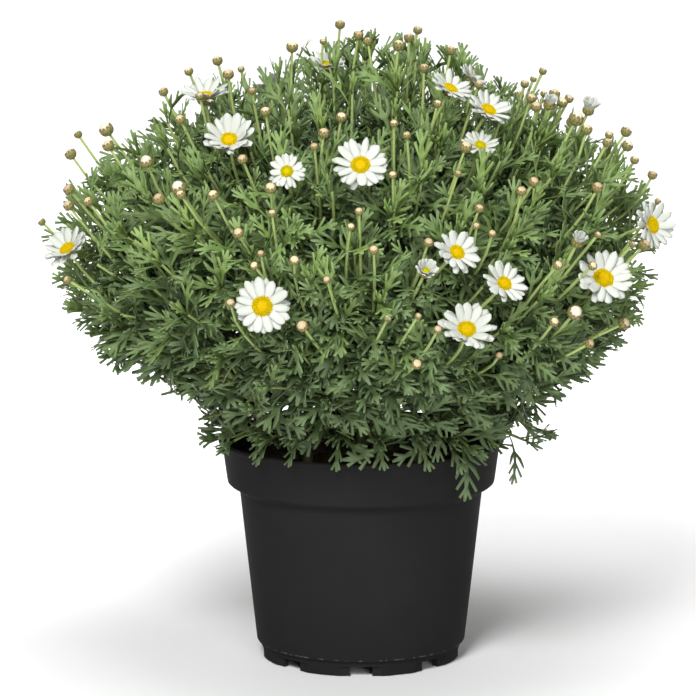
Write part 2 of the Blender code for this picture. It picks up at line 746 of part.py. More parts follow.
def place_leaf(bm, face, axis, size, room, seat, side, thick, spread):
    """Try a leaf at a few turns and sizes, and grow the first that is clear."""
    name = f"{seat} {side}"
    rng = random.Random(name)
    root = face.calc_center_median()
    axis = axis.normalized()
    out = face.normal - axis * face.normal.dot(axis)
    out = (out if spread else axis.orthogonal()).normalized()
    for attempt in range(LEAF_TRIES):
        swing = min(LEAF_SWING * (attempt + 1), LEAF_MOST_SWING)
        turn = Matrix.Rotation(rng.uniform(-1, 1) * swing, 3, axis)
        lean = spread + rng.uniform(-LEAF_SWAY, LEAF_SWAY)
        away = turn @ out
        along = axis * math.cos(lean) + away * math.sin(lean)
        up = axis * math.sin(lean) - away * math.cos(lean)
        length = size * (1 - LEAF_GIVE * attempt) * rng.uniform(*LEAF_RANGE)
        probe = leaf_rings(root, along, up, length, LEAF_PAIRS, SWELL)
        near = leaf_skin(slim_root(root + along * LEAF_FREE, probe[0]), *probe)
        far = leaf_skin(slim_root(root + along * (LEAF_FREE + thick), probe[0]), *probe)
        if room.clear(*near, nearby(*seat)) and room.clear(*far, {seat}):
            if len(face.verts) > 3:
                face = half_of(bm, face)
            shape = leaf_rings(root, along, up, length, LEAF_PAIRS)
            corners = [vert.co.copy() for vert in face.verts]
            shift = twist_shift(face, shape[0][0])
            room.add(*leaf_skin(corners[-shift:] + corners[:-shift], *shape), seat)
            grow_leaf(bm, face, *shape)
            return


def main():
    for obj in list(bpy.data.objects):
        bpy.data.objects.remove(obj)
    room = Room()
    ends = plan_ends()
    stems = plan_stems(ends)
    pot = make_pot()
    soil = make_soil([root for _, root, _ in stems])
    for obj in (pot, soil):
        shell = obj.data
        room.add([v.co.copy() for v in shell.vertices], [list(p.vertices) for p in shell.polygons], obj.name)
    make_blooms(room)
    green = material("leaf_green", (0.1, 0.16, 0.07), 0.6)
    built = grow_shoots(stems, room)
    grow_leaves(built, room)
    for number, (bm, *_) in enumerate(built):
        add_object(f"leafy_stem_{number + 1:02d}", bm, green)


main()
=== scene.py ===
import math
import random

import bmesh
import bpy
import numpy as np
from mathutils import Matrix, Vector


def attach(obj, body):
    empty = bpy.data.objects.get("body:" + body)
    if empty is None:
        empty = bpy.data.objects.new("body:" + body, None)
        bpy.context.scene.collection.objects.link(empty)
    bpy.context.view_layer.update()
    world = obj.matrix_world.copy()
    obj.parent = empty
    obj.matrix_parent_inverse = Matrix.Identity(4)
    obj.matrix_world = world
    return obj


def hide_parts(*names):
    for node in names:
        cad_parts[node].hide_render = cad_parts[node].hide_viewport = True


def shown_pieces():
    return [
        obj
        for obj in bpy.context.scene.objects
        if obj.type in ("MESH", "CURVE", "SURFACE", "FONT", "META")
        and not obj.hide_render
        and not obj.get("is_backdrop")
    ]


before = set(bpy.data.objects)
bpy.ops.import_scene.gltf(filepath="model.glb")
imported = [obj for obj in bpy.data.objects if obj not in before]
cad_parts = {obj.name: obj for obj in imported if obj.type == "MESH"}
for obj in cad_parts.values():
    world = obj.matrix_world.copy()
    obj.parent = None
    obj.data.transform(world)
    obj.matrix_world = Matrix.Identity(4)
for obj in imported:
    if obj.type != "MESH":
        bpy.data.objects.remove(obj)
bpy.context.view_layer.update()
mm = 0.001
up = Vector((0, 0, 1))
golden = math.radians(137.508)
lookDown = 0.17  # the photo looks down on the plant a little: how much a depth shows as height


# small tools used by every piece

def deselectAll():
    for thing in bpy.context.selected_objects:
        thing.select_set(False)


def activate(thing):
    deselectAll()
    thing.select_set(True)
    bpy.context.view_layer.objects.active = thing


def edit(thing):
    activate(thing)
    bpy.ops.object.mode_set(mode="EDIT")


def leaveEdit():
    bpy.ops.object.mode_set(mode="OBJECT")


def newest():
    return bpy.context.active_object


def begin(primitive, place=(0, 0, 0), **sizes):  # add a primitive and open it for editing
    primitive(location=place, **sizes)
    edit(newest())
    return newest()


def pushOut(move):  # extrude what is selected
    bpy.ops.mesh.extrude_region_move(TRANSFORM_OT_translate={"value": move})


def pick(thing, test, kind="verts"):  # select what passes a test, while in edit mode
    shape = bmesh.from_edit_mesh(thing.data)
    for items in (shape.faces, shape.edges, shape.verts):
        for item in items:
            item.select = False
    for item in getattr(shape, kind):
        if test(item):
            item.select = True
    shape.select_flush(kind == "verts")
    bmesh.update_edit_mesh(thing.data)


def cutOff(thing, test):  # delete the points that pass a test and close the hole
    pick(thing, test)
    bpy.ops.mesh.delete(type="VERT")
    pick(thing, lambda e: e.is_boundary, "edges")
    bpy.ops.mesh.edge_face_add()


def pushEdge(thing, pair, move, turn=0.0, scale=1.0):  # extrude one edge, turn and narrow it
    shape = bmesh.from_edit_mesh(thing.data)
    shape.verts.ensure_lookup_table()
    goal = shape.verts[pair[0]].co + Vector(move)
    pick(thing, lambda e: {v.index for v in e.verts} == set(pair), "edges")
    pushOut(move)
    shape = bmesh.from_edit_mesh(thing.data)
    shape.verts.index_update()
    fresh = sorted((v for v in shape.verts if v.select), key=lambda v: (v.co - goal).length)
    middle = (fresh[0].co + fresh[1].co) / 2
    pair = [v.index for v in fresh]
    bpy.ops.transform.rotate(value=-turn, orient_axis="Z", center_override=middle)
    bpy.ops.transform.resize(value=(scale, scale, scale), center_override=middle)
    return pair


def applyModifier(thing, kind, **settings):
    activate(thing)
    added = thing.modifiers.new(kind.lower(), kind)
    for name, value in settings.items():
        setattr(added, name, value)
    bpy.ops.object.modifier_apply(modifier=added.name)


def smooth(thing, angle=None):  # with an angle, sharper edges stay crisp
    activate(thing)
    if angle:
        bpy.ops.object.shade_smooth_by_angle(angle=math.radians(angle))
    else:
        bpy.ops.object.shade_smooth()


def settle(thing):  # put the place, turn and size of an object into its mesh
    activate(thing)
    bpy.ops.object.transform_apply(location=True, rotation=True, scale=True)


def dress(thing, material, heights=None):  # and three numbers per point: tone, youth, share of the length
    points = np.array([v.co for v in thing.data.vertices])
    tint = np.zeros((len(points), 3), np.float32)
    high = points[:, 2].max() - points[:, 2].min()
    tint[:, 2] = (points[:, 2] - points[:, 2].min()) / max(high, 1e-6) if heights is None else heights
    thing.data.attributes.new("tint", "FLOAT_VECTOR", "POINT").data.foreach_set("vector", tint.ravel())
    thing.data.materials.clear()
    thing.data.materials.append(material)


templates = {}  # finished shapes, kept off the scene and copied from


def keepTemplate(name, thing):
    tint = np.zeros(len(thing.data.vertices) * 3, np.float32)
    thing.data.attributes["tint"].data.foreach_get("vector", tint)
    templates[name] = (thing.data, tint.reshape(-1, 3))
    bpy.data.objects.remove(thing)


def copyOf(name, place, tone=0.5, young=0.0):  # no tone keeps that of each point
    mesh, tint = templates[name]
    mesh = mesh.copy()
    mesh.transform(place)
    tint = tint.copy()
    if tone is not None:
        tint[:, 0] = tone
    tint[:, 1] = young
    mesh.attributes["tint"].data.foreach_set("vector", tint.ravel())
    return bpy.data.objects.new(name, mesh)


def link(thing):
    bpy.context.scene.collection.objects.link(thing)


def joinAll(name, parts):
    deselectAll()
    for part in parts:
        if not part.users_collection:
            link(part)
    for part in parts:
        part.select_set(True)
    bpy.context.view_layer.objects.active = parts[0]
    if len(parts) > 1:
        bpy.ops.object.join()
    parts[0].name = parts[0].data.name = name
    return parts[0]


def finishPiece(piece, slot, *nodes):  # a piece rides on the root and may stand in for CAD nodes
    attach(piece, "root")
    if nodes:
        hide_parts(*nodes)


def frameAlong(point, along, normal):  # local Z runs along, local Y is the upper side
    along = along.normalized()
    across = normal.cross(along).normalized()
    normal = along.cross(across)
    turned = Matrix((across, normal, along)).transposed().to_4x4()
    return Matrix.Translation(point) @ turned


def standing(point, axis):  # a place whose local Z points along the axis
    return Matrix.Translation(point) @ axis.to_track_quat("Z", "Y").to_matrix().to_4x4()


def onCircle(turn, away=1.0, high=0.0):
    return Vector((away * math.cos(turn), away * math.sin(turn), high))


# shader maths: a wrapped socket that adds Math nodes as it is used

class Signal:
    def __init__(self, tree, socket=None):
        self.tree, self.socket = tree, socket

    def node(self, kind, settings=None, sockets=None, output=0):
        made = self.tree.nodes.new("ShaderNode" + kind)
        for name, value in (settings or {}).items():
            if name == "stops":
                ramp = made.color_ramp
                while len(ramp.elements) < len(value):
                    ramp.elements.new(1)
                for stop, (spot, colour) in zip(ramp.elements, value):
                    stop.position = spot
                    stop.color = (*colour, 1)
            else:
                setattr(made, name, value)
        for name, value in (sockets or {}).items():
            if isinstance(value, Signal):
                self.tree.links.new(value.socket, made.inputs[name])
            else:
                made.inputs[name].default_value = value
        return Signal(self.tree, made.outputs[output])

    def math(self, operation, first, second):
        return self.node("Math", {"operation": operation}, {0: first, 1: second})

    def __add__(self, other):
        return self.math("ADD", self, other)

    def __radd__(self, other):
        return self.math("ADD", other, self)

    def __sub__(self, other):
        return self.math("SUBTRACT", self, other)

    def __rsub__(self, other):
        return self.math("SUBTRACT", other, self)

    def __mul__(self, other):
        return self.math("MULTIPLY", self, other)

    def __rmul__(self, other):
        return self.math("MULTIPLY", other, self)

    def __pow__(self, other):
        return self.math("POWER", self, other)


def newMaterial(name, roughness, **constants):
    made = bpy.data.materials.new(name)
    made.use_nodes = True
    shader = made.node_tree.nodes["Principled BSDF"]
    shader.inputs["Roughness"].default_value = roughness
    for socket, value in constants.items():
        shader.inputs[socket.replace("_", " ")].default_value = value
    return made, Signal(made.node_tree), shader


def feed(shader, socket, signal):
    signal.tree.links.new(signal.socket, shader.inputs[socket])


def rgb(colour):  # a screen colour of 0 to 255 as the shader's own
    return tuple((c / 255 / 12.92 if c < 10.3 else ((c / 255 + 0.055) / 1.055) ** 2.4) for c in colour) + (1,)


def mixed(factor, *sides):  # each side is a screen colour or a signal
    low, high = (rgb(side) if isinstance(side, tuple) else side for side in sides)
    return factor.node("Mix", {"data_type": "RGBA"}, {0: factor, 6: low, 7: high}, 2)


def pointTints(start):  # tone, youth and share of the length, as dress keeps them
    tint = start.node("Attribute", {"attribute_name": "tint"}, output=1)
    return [start.node("SeparateXYZ", sockets={0: tint}, output=k) for k in range(3)]


def objectPlace(start):
    return start.node("TexCoord", output=3)


def noise(place, scale, detail=2.0):
    return place.node("TexNoise", sockets={"Vector": place, "Scale": scale, "Detail": detail})


def ranged(signal, low, high, most=1.0):  # 0 at low, most at high
    return signal.node("MapRange", sockets={0: signal, 1: low, 2: high, 4: most})


def roughen(shader, height, strength, depth):
    bump = height.node("Bump", sockets={"Strength": strength, "Distance": depth, "Height": height})
    feed(shader, "Normal", bump)


# materials: colours as seen on a screen, and the scale of each pattern

foliageLook = {
    "old": (31, 47, 25), "fresh": (105, 132, 69), "young": (134, 158, 70), "pale": (132, 154, 110),
    "blotch": 55.0, "grain": 900.0,
}


def leafMaterial(look):
    made, start, shader = newMaterial("leafTissue", 0.52, Specular_IOR_Level=0.35)
    tone, young, along = pointTints(start)
    place = objectPlace(start)
    blotch, grain = noise(place, look["blotch"]), noise(place, look["grain"])
    base = mixed(tone * 0.75 + blotch * 0.35, look["old"], look["fresh"])
    base = mixed(young, base, look["young"])
    tips = along ** 3.0 * 0.35 + grain * 0.12
    feed(shader, "Base Color", mixed(tips, base, look["pale"]))
    feed(shader, "Roughness", grain * 0.25 + 0.42)
    roughen(shader, grain, 0.25, 0.3 * mm)
    return made


stemLook = {
    "bark": (96, 92, 58), "green": (114, 136, 70), "stalk": (166, 184, 112),
    "speck": (70, 80, 44), "speckle": 420.0,
    "heart": (0, 0, 0.2), "barkToGreen": (0.06, 0.13), "greenToStalk": (0.13, 0.2),  # distances in m
}


def stemMaterial(look):
    made, start, shader = newMaterial("stemSkin", 0.55, Specular_IOR_Level=0.35)
    place = objectPlace(start)
    offset = start.node("VectorMath", {"operation": "SUBTRACT"}, {0: place, 1: look["heart"]})
    reach = start.node("VectorMath", {"operation": "LENGTH"}, {0: offset}, 1)
    speckle = noise(place, look["speckle"], 3.0)
    base = mixed(ranged(reach, *look["barkToGreen"]), look["bark"], look["green"])
    base = mixed(ranged(reach, *look["greenToStalk"]), base, look["stalk"])
    feed(shader, "Base Color", mixed(speckle * 0.2, base, look["speck"]))
    roughen(shader, speckle, 0.4, 0.4 * mm)
    return made


# the grey lines along each petal are painted shade, as in its grooves
rayLook = {
    "foot": (180, 188, 136), "white": (198, 201, 193), "paintedGrooveShade": (180, 186, 176), "grooveLines": (26.0, 1.5, 1.0),
}


def rayMaterial(look):
    made, start, shader = newMaterial("rayTissue", 0.5, Specular_IOR_Level=0.3)
    along = pointTints(start)[2]
    surface = start.node("TexCoord", output=2)
    stretch = start.node("Mapping", sockets={"Vector": surface, "Scale": look["grooveLines"]})
    lines = noise(stretch, 1.0, 1.0)
    foot = mixed(along * 4.0, look["foot"], look["white"])
    # painted shade: grey lines along the petal, as in its grooves
    feed(shader, "Base Color", mixed(lines * 0.4, foot, look["paintedGrooveShade"]))
    roughen(shader, lines, 0.5, 0.4 * mm)
    return made


# the low colour is painted shade: darker orange at the foot of the florets and between them
discLook = {
    "deep": (200, 170, 0), "lemon": (212, 198, 2), "low": (188, 152, 0), "green": (158, 176, 8),
    "grain": 1500.0,
}


def floretMaterial(look):
    made, start, shader = newMaterial("discFlorets", 0.6, Specular_IOR_Level=0.06)
    tone, young, along = pointTints(start)
    grain = noise(objectPlace(start), look["grain"])
    base = mixed(tone, look["deep"], look["lemon"])
    # painted shade: each floret darker orange towards its foot
    base = mixed(along, look["low"], base)
    base = mixed(young, base, look["green"])
    feed(shader, "Base Color", mixed(grain * 0.25, base, look["low"]))
    roughen(shader, grain, 0.4, 0.3 * mm)
    return made


budLook = {
    "dull": (180, 160, 124), "cream": (216, 206, 166), "white": (214, 214, 192), "low": (136, 132, 78),
    "spot": (150, 122, 86), "spots": (0.52, 0.7, 0.45), "grain": 900.0,
}


def budMaterial(look):
    made, start, shader = newMaterial("budCream", 0.6, Specular_IOR_Level=0.3)
    tone, young, along = pointTints(start)
    grain = noise(objectPlace(start), look["grain"])
    base = mixed(tone, look["dull"], look["cream"])
    base = mixed(young, base, look["white"])
    base = mixed(along, look["low"], base)
    feed(shader, "Base Color", mixed(ranged(grain, *look["spots"]), base, look["spot"]))
    roughen(shader, grain, 0.5, 0.4 * mm)
    return made


bractLook = {
    "along": ((0.0, (104, 118, 60)), (0.6, (134, 138, 80)), (0.88, (112, 84, 54))),  # from foot to tip
    "speck": (116, 104, 62), "grain": 900.0,
}


def bractMaterial(look):
    made, start, shader = newMaterial("bractSkin", 0.6, Specular_IOR_Level=0.3)
    stops = [(spot, rgb(colour)[:3]) for spot, colour in look["along"]]
    edge = start.node("ValToRGB", {"stops": stops}, {0: pointTints(start)[2]})
    grain = noise(objectPlace(start), look["grain"])
    feed(shader, "Base Color", mixed(grain * 0.5, edge, look["speck"]))
    return made


# the pale colour for the line round the foot is a painted highlight
potLook = {
    "black": (35, 35, 35), "dust": (48, 48, 47), "paintedFootHighlight": (84, 84, 82), "edge": 11.3 * mm,
    "broad": 16.0, "grain": 1400.0, "scuffs": 260.0, "streak": (1.0, 1.0, 0.08),
}


def potMaterial(look):
    made, start, shader = newMaterial("potPlastic", 0.6, Specular_IOR_Level=0.015)
    place = objectPlace(start)
    broad, grain = noise(place, look["broad"], 4.0), noise(place, look["grain"])
    streak = start.node("Mapping", sockets={"Vector": place, "Scale": look["streak"]})
    scuffs = noise(streak, look["scuffs"])
    dust = ranged(broad, 0.52, 0.8, 0.16) + scuffs * 0.06
    base = mixed(dust, look["black"], look["dust"])
    high = start.node("SeparateXYZ", sockets={0: place}, output=2)
    gap = start.math("ABSOLUTE", high - look["edge"], 0.0)
    paintedFootHighlight = ranged(gap, 0.7 * mm, 0.2 * mm) * ranged(scuffs, 0.5, 0.62)  # a painted highlight: a pale line round the foot, where the wall meets the foot
    feed(shader, "Base Color", mixed(paintedFootHighlight, base, look["paintedFootHighlight"]))
    feed(shader, "Roughness", grain * 0.16 + scuffs * 0.12 + 0.45)
    roughen(shader, grain, 0.18, 0.3 * mm)
    return made


soilLook = {"damp": (28, 20, 14), "dry": (84, 62, 44), "fibre": (52, 38, 26), "lumps": 240.0, "fibres": 420.0}


def soilMaterial(look):
    made, start, shader = newMaterial("pottingSoil", 0.95, Specular_IOR_Level=0.2)
    place = objectPlace(start)
    lumps = noise(place, look["lumps"], 5.0)
    fibre = start.node("TexVoronoi", sockets={"Vector": place, "Scale": look["fibres"]})
    base = mixed(lumps, look["damp"], look["dry"])
    feed(shader, "Base Color", mixed(fibre * 0.4, base, look["fibre"]))
    roughen(shader, lumps, 0.8, 2 * mm)
    return made


leafTissue, stemSkin, rayTissue = leafMaterial(foliageLook), stemMaterial(stemLook), rayMaterial(rayLook)
discFlorets, budCream, bractSkin = floretMaterial(discLook), budMaterial(budLook), bractMaterial(bractLook)
potPlastic, pottingSoil = potMaterial(potLook), soilMaterial(soilLook)
print("materials ready")


# pot: an outline spun round, with notches cut in its foot

potShape = {
    "sides": 120,
    "notches": 8, "notchWide": 15 * mm, "notchAway": 64 * mm, "notchHigh": 6.6 * mm, "notchRound": 1.6 * mm,
    "pocketWide": 30 * mm, "pocketDeep": 2.2 * mm, "foot": 67.6 * mm, "cutter": 12 * mm,
    "drains": 4, "drainRadius": 5 * mm, "drainCircle": 50 * mm, "floorHigh": 10 * mm, "crisp": 38,
    "outline": [  # radius and height in mm: under the floor, up the outside and down the inside
        (0, 8.5), (61, 8.5), (62.5, 7), (62.5, 0.5), (63, 0), (67.2, 0), (67.6, 0.5), (67.9, 8.6),
        (68.4, 9.6), (70.4, 10.5), (71, 11.5), (76.6, 62), (82.3, 114), (82.9, 115.6), (84, 116.8),
        (89.4, 119.6), (90.5, 120.6), (90.9, 122.4), (94.1, 145.6), (94.6, 146.6), (96.1, 147.2), (96.7, 148),
        (96.7, 149.4), (96.1, 150.2), (95, 150.5), (94, 150), (92.2, 147.2), (91.7, 145.8), (88.5, 122.0),
        (87.6, 120.7), (81, 117.2), (80.1, 115.9), (68.9, 12), (67.6, 11), (0, 11),
    ],
}


def makePot():
    pot = begin(bpy.ops.mesh.primitive_plane_add, size=1 * mm)
    bpy.ops.mesh.merge(type="CENTER")
    points = [Vector((r * mm, 0, z * mm)) for r, z in potShape["outline"]]
    bpy.ops.transform.translate(value=points[0])
    for before, after in zip(points, points[1:]):
        pushOut(after - before)
    bpy.ops.mesh.select_all(action="SELECT")
    bpy.ops.mesh.spin(steps=potShape["sides"], angle=math.tau, center=(0, 0, 0), axis=(0, 0, 1))
    bpy.ops.mesh.select_all(action="SELECT")
    bpy.ops.mesh.remove_doubles(threshold=0.00001)
    bpy.ops.mesh.normals_make_consistent(inside=False)
    leaveEdit()
    cutters = []
    pocketAway = potShape["foot"] - potShape["pocketDeep"] + potShape["cutter"] / 2
    for k in range(potShape["notches"]):
        turn = math.tau * k / potShape["notches"] - math.pi / 2
        for away, wide in (
            (potShape["notchAway"], potShape["notchWide"]), (pocketAway, potShape["pocketWide"]),
        ):
            bpy.ops.mesh.primitive_cube_add(size=1, location=onCircle(turn, away), rotation=(0, 0, turn))
            cube = newest()
            cube.scale = (potShape["cutter"], wide, potShape["notchHigh"] * 2)
            settle(cube)
            applyModifier(cube, "BEVEL", width=potShape["notchRound"], segments=3)
            cutters.append(cube)
    radius = potShape["drainRadius"]
    for k in range(potShape["drains"]):
        turn = math.tau * (k + 0.5) / potShape["drains"]
        spot = onCircle(turn, potShape["drainCircle"], potShape["floorHigh"])
        bpy.ops.mesh.primitive_cylinder_add(
            vertices=24, radius=radius, depth=potShape["cutter"], location=spot
        )
        drain = newest()
        settle(drain)
        cutters.append(drain)
    for cutter in cutters:
        applyModifier(pot, "BOOLEAN", operation="DIFFERENCE", solver="EXACT", object=cutter)
        bpy.data.objects.remove(cutter)
    smooth(pot, potShape["crisp"])
    pot.data.materials.append(potPlastic)
    pot.name = pot.data.name = "pot_shell"
    finishPiece(pot, "pot", "pot")


makePot()
print("pot done")


# soil: a lumpy mound with crumbs on it

soilShape = {
    "radius": 88.8 * mm, "low": 133 * mm, "high": 139 * mm, "rough": 1.6,
    "crumbs": 260, "crumb": (0.9, 3.2), "seed": 4,
    "rings": (0.94, 0.84, 0.72, 0.6, 0.46, 0.3, 0.14),
    "sides": ((12.4, 0.981), (5, 0.909), (103.5, 0.857)),  # each drop in mm and how much it narrows
}


def soilHigh(share):  # height of the mound at a share of its radius
    return (soilShape["high"] - soilShape["low"]) * (1 - share ** 3)


def makeSoil():
    rng = random.Random(soilShape["seed"])
    radius, low, rough = soilShape["radius"], soilShape["low"], soilShape["rough"]
    soil = begin(bpy.ops.mesh.primitive_circle_add, (0, 0, low), vertices=48, radius=radius, fill_type="NGON")
    for share in soilShape["rings"]:
        bpy.ops.mesh.inset(thickness=radius * 0.1, depth=0)
        shape = bmesh.from_edit_mesh(soil.data)
        for vert in [v for v in shape.verts if v.select]:
            flat = Vector((vert.co.x, vert.co.y, 0)).normalized() * radius * share
            rise = soilHigh(share) + rng.uniform(-rough, rough) * mm
            vert.co = (flat.x + rng.uniform(-2, 2) * mm, flat.y + rng.uniform(-2, 2) * mm, rise)
        bmesh.update_edit_mesh(soil.data)
    pick(soil, lambda e: e.is_boundary, "edges")
    for drop, narrow in soilShape["sides"]:
        pushOut((0, 0, -drop * mm))
        bpy.ops.transform.resize(value=(narrow, narrow, 1), center_override=(0, 0, 0))
    bpy.ops.mesh.edge_face_add()
    bpy.ops.mesh.select_all(action="SELECT")
    bpy.ops.mesh.normals_make_consistent(inside=False)
    leaveEdit()
    settle(soil)
    smooth(soil, 60)
    bpy.ops.mesh.primitive_ico_sphere_add(subdivisions=1, radius=1, location=(0, 0, 0))
    crumb = newest()
    lump = bpy.data.textures.new("lump", "CLOUDS")
    applyModifier(crumb, "DISPLACE", strength=0.3, texture_coords="LOCAL", texture=lump)
    dress(crumb, pottingSoil)
    keepTemplate("crumb", crumb)
    dress(soil, pottingSoil)
    parts = [soil]
    for k in range(soilShape["crumbs"]):
        away = radius * math.sqrt(rng.uniform(0.02, 0.93))
        turn = k * golden
        high = low + soilHigh(away / radius)
        size = rng.uniform(*soilShape["crumb"]) * mm
        spot = onCircle(turn, away, high + size * 0.3)
        squash = Matrix.Diagonal((size, size * rng.uniform(0.6, 1), size * rng.uniform(0.4, 0.8), 1))
        turned = Matrix.Rotation(rng.uniform(0, 6), 4, "Z")
        parts.append(copyOf("crumb", Matrix.Translation(spot) @ turned @ squash))
    finishPiece(joinAll("potting_soil", parts), "soil", "soil")


makeSoil()
print("soil done")


# leaf, petal, floret and bud shapes, each modelled once

leafKinds = {  # length, stalk's share, width, bend, twist, lobes as (length, angle, faces), in mm and degrees
    "broad": (54, 0.36, 5.0, 46, 25, ((16, 42, 2), (13, 34, 1), (7, 28, 1))),
    "forked": (48, 0.48, 5.2, 56, -40, ((16, 34, 2), (10, 26, 1))),
    "curled": (54, 0.4, 4.7, 96, 50, ((14, 42, 2), (11, 34, 1), (6, 28, 1))),
    "long": (60, 0.46, 4.5, 34, -25, ((15, 24, 2), (11, 22, 1))),
    "narrow": (52, 0.5, 4.1, 20, 30, ((13, 20, 1), (8, 18, 1))),
    "strap": (46, 0.6, 4.0, 12, -20, ((11, 20, 1),)),
    "tip": (30, 0.42, 3.7, 20, 10, ((9, 24, 1), (6, 20, 1))),
    "sprout": (18, 0.4, 3.1, -10, 0, ((6, 22, 1),)),
}
leafThick = 0.5 * mm


def makeLeaf(name, length, stalk, wide, bend, twist, lobes):
    length, wide = length * mm, wide * mm
    stalk = length * stalk
    rest = (length - stalk) / len(lobes)
    leaf = begin(bpy.ops.mesh.primitive_plane_add, size=1)
    bpy.ops.transform.resize(value=(wide * 0.4, stalk * 0.5, 1))
    bpy.ops.transform.translate(value=(0, stalk * 0.25, 0))
    front = pushEdge(leaf, (2, 3), (0, stalk * 0.5, 0), scale=1.9)
    rings = []
    for k in range(len(lobes)):
        last = k == len(lobes) - 1
        lobed = pushEdge(leaf, front, (0, wide, 0), scale=1.2)
        rings.append((front, lobed))
        front = pushEdge(leaf, lobed, (0, rest - wide, 0), scale=0.5 if last else 0.76)
    for (low, high), (reach, angle, count) in zip(rings, lobes):
        for side, sign in ((0, -1), (1, 1)):
            pair = (low[side], high[side])
            aim = math.radians(angle + 4 * sign)
            turn = sign * (math.pi / 2 - aim)
            for part in range(count):
                away = Vector((sign * math.sin(aim), math.cos(aim), 0.2)) * reach * mm / count
                pair = pushEdge(leaf, pair, away, turn, 0.86 if part == 0 and count > 1 else 0.5)
                turn = -sign * 0.25
                aim -= 0.28
    leaveEdit()
    applyModifier(leaf, "SOLIDIFY", thickness=leafThick, offset=0)
    leaf.rotation_euler = (math.radians(90), 0, math.pi)
    settle(leaf)
    if twist:
        applyModifier(
            leaf, "SIMPLE_DEFORM", deform_method="TWIST", deform_axis="Z", angle=math.radians(twist)
        )
    applyModifier(leaf, "SIMPLE_DEFORM", deform_method="BEND", deform_axis="X", angle=-math.radians(bend))
    smooth(leaf)
    dress(leaf, leafTissue)
    keepTemplate(name, leaf)


for kind, sizes in leafKinds.items():
    makeLeaf(kind, *sizes)

petalKinds = {  # width, droop, cup and notch in mm, for a bloom of 38 mm
    "flat": (5.7, 1.2, 0.5, 0.9), "arched": (5.3, 3.0, 0.8, 0.6), "slim": (4.6, 1.8, 1.0, 0.8),
    "raised": (5.5, -0.8, 0.9, 1.0),
}
petalShape = {
    "length": 14.6 * mm, "thick": 0.35 * mm, "rounding": 1.1 * mm,
    "widths": (0.5, 0.74, 0.92, 1.0, 0.98, 0.86, 0.56),  # row by row from the foot
    "grooves": (0, -0.22, 0.12, -0.22, 0),  # height across the petal in mm
}


def makePetal(name, wide, droop, cup, notch):
    petal = begin(bpy.ops.mesh.primitive_grid_add, x_subdivisions=4, y_subdivisions=6, size=1)
    shape = bmesh.from_edit_mesh(petal.data)
    length = petalShape["length"]
    for vert in shape.verts:
        row, column = round((vert.co.y + 0.5) * 6), round((vert.co.x + 0.5) * 4)
        share, across = row / 6, (column - 2) / 2
        width = wide * mm * petalShape["widths"][row]
        groove = petalShape["grooves"][column] * mm * min(1, share * 3)
        end = -notch * 0.6 * mm * (column in (1, 3)) * (row == 6)
        rounded = -petalShape["rounding"] * (abs(across) == 1) * (row == 6)
        sunk = cup * mm * across**2 * share + droop * mm * share**2.2
        vert.co = (across * width / 2, share * length + end + rounded, groove - sunk)
    bmesh.update_edit_mesh(petal.data)
    leaveEdit()
    applyModifier(petal, "SOLIDIFY", thickness=petalShape["thick"], offset=-1)
    smooth(petal)
    dress(petal, rayTissue, [v.co.y / length for v in petal.data.vertices])
    keepTemplate(name, petal)


for kind, sizes in petalKinds.items():
    makePetal(kind, *sizes)

discShape = {"radius": 5.9 * mm, "height": 2.4 * mm, "dimple": 0.42 * mm, "florets": 112, "seed": 8}


def makeDisc():
    foot, mouth, tall = 0.42 * mm, 0.55 * mm, 1.5 * mm
    floret = begin(bpy.ops.mesh.primitive_cone_add, vertices=5, radius1=foot, radius2=mouth, depth=tall)
    pick(floret, lambda f: f.normal.z > 0.9, "faces")
    bpy.ops.mesh.inset(thickness=0.2 * mm, depth=-0.3 * mm)
    pick(floret, lambda f: f.normal.z < -0.9, "faces")
    bpy.ops.mesh.delete(type="FACE")
    leaveEdit()
    bpy.ops.mesh.primitive_ico_sphere_add(subdivisions=1, radius=0.5 * mm, location=(0, 0, 0))
    for name, piece in (("openFloret", floret), ("shutFloret", newest())):
        dress(piece, discFlorets)
        keepTemplate(name, piece)
    radius, height = discShape["radius"], discShape["height"]
    dome = begin(bpy.ops.mesh.primitive_uv_sphere_add, segments=20, ring_count=10, radius=radius)
    cutOff(dome, lambda v: v.co.z < -0.1 * mm)
    bpy.ops.mesh.select_all(action="SELECT")
    bpy.ops.transform.resize(value=(0.96, 0.96, height / radius), center_override=(0, 0, 0))
    leaveEdit()
    smooth(dome, 50)
    # the dome between the florets takes mostly the painted shade colour
    dress(dome, discFlorets, 0.2)
    rng = random.Random(discShape["seed"])
    parts = [dome]
    for k in range(discShape["florets"]):
        away = math.sqrt((k + 0.5) / discShape["florets"])
        turn = k * golden
        rise = height * math.sqrt(max(0.0, 1 - (away * 0.96) ** 2)) - discShape["dimple"] * (1 - away) ** 2
        spot = Vector((math.cos(turn) * away * radius, math.sin(turn) * away * radius, rise))
        lean = (Vector((spot.x, spot.y, 0)) / radius * 0.9 + up).normalized()
        size = rng.uniform(0.85, 1.1) * (0.75 + 0.35 * away)
        kind = "openFloret" if away > 0.5 else "shutFloret"
        place = standing(spot, lean) @ Matrix.Rotation(turn * 3, 4, "Z") @ Matrix.Scale(size, 4)
        parts.append(copyOf(kind, place, rng.uniform(0.3, 1)))
    keepTemplate("disc", joinAll("disc", parts))


makeDisc()

budShape = {
    "radius": 2.9 * mm, "bractWide": 0.68, "bractThick": 0.07,  # widths as shares of the radius
    "rows": ((8, 14, 66), (9, 52, 72)),  # bracts, where they start and how far they reach in degrees
    "cup": (5.2 * mm, 5.2 * mm, 4.6 * mm, 1),
}


